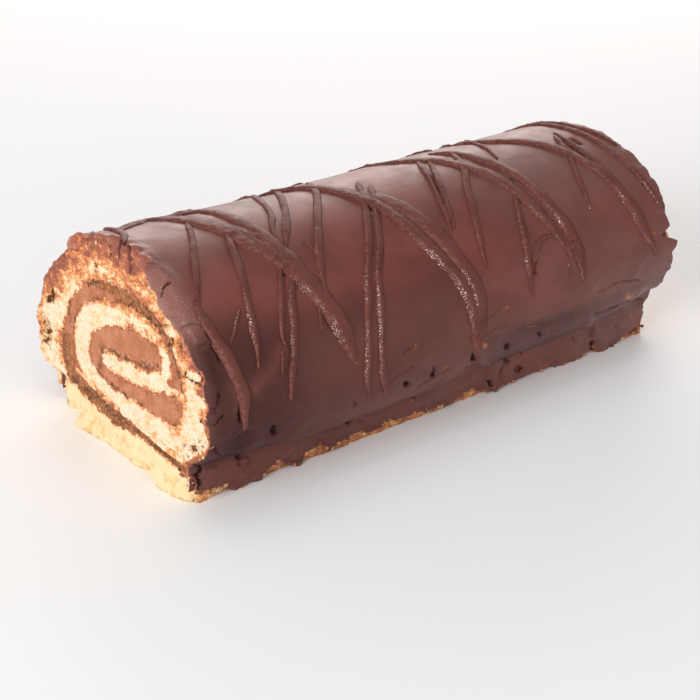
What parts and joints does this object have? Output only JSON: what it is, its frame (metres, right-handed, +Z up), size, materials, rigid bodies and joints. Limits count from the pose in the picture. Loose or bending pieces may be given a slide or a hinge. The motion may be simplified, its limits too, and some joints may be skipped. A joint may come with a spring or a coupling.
{
  "type": "swiss roll",
  "caption": "Rolled sponge cake on its own flat base, with a cocoa cream spiral showing at both cut ends and a chocolate coat open underneath.",
  "frame": {"origin": "centre of the bounding box in plan, on the surface the cake rests on", "axes": "+X along the roll, away from the start end, +Y towards the back of the roll, the sheet's base seam being at the front on the -Y side, +Z up"},
  "size_m": [0.2102, 0.1046, 0.0745],
  "materials": {
    "sponge": "pale cream crumb, matte, fine pores",
    "filling": "smooth cocoa cream, satin",
    "coating": "set milk chocolate, satin sheen"
  },
  "bodies": {
    "root": {"sponge": "sponge", "filling": "filling", "coating": "coating"}
  },
  "joints": []
}
